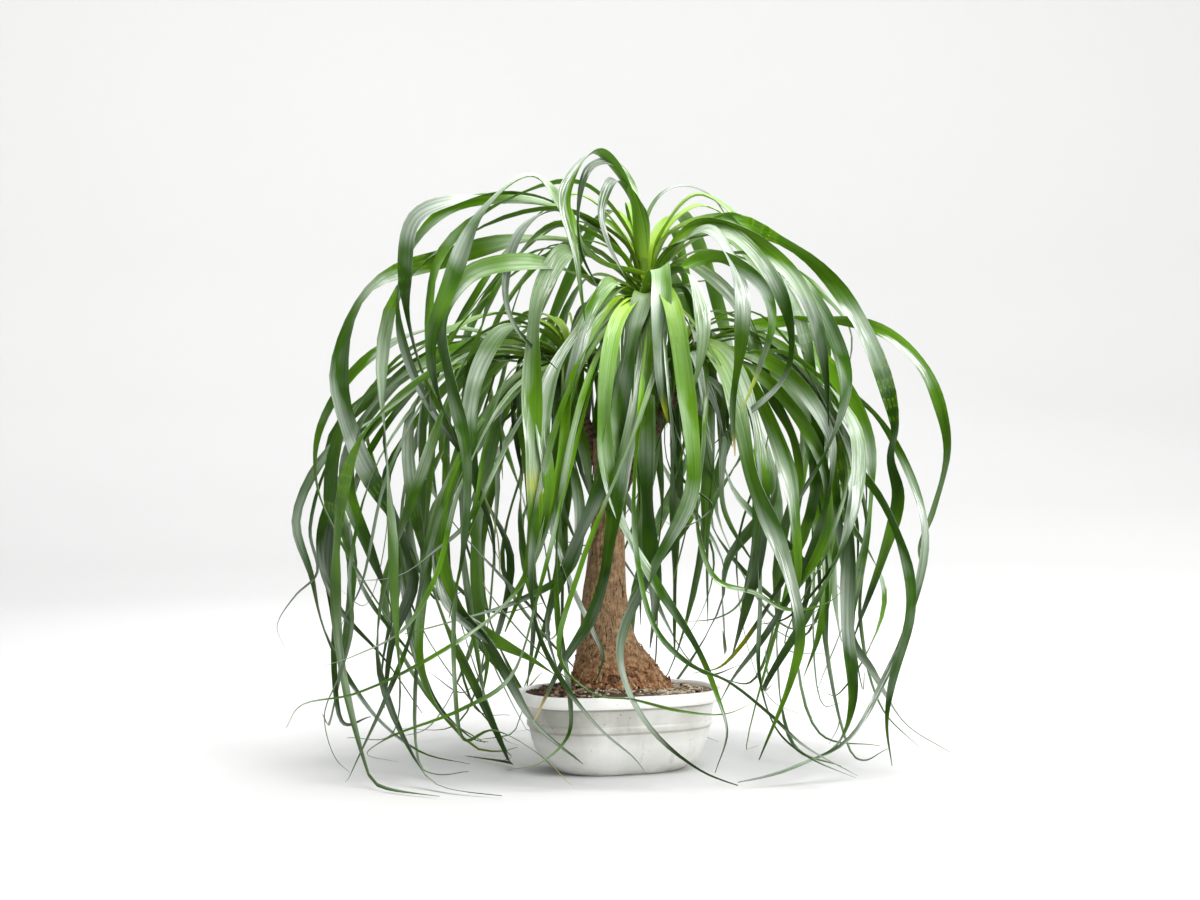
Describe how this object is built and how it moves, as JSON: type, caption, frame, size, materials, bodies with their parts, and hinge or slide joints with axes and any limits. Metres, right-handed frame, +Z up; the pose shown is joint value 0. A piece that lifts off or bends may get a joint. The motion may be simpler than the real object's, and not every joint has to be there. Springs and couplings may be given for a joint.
{
  "type": "potted ponytail palm",
  "caption": "Ponytail palm with a swollen trunk, a cut stump and three arching heads of strap leaves, growing in soil in an oval white plastic planter.",
  "frame": {"origin": "centre of the pot's foot, on the surface that the pot stands on", "axes": "+Z up along the trunk, -Y towards the plant's front, +X to the right seen from the front; the pot's long side is turned 18 degrees from +X towards +Y"},
  "size_m": [0.6583, 0.461, 0.6099],
  "materials": {
    "white_plastic": "satin",
    "soil": "matte",
    "bark": "matte",
    "leaf": "satin"
  },
  "bodies": {
    "root": {"pot": "white_plastic", "soil": "soil", "trunk": "bark", "leaves_top": "leaf", "leaves_left": "leaf", "leaves_right": "leaf"}
  },
  "joints": []
}
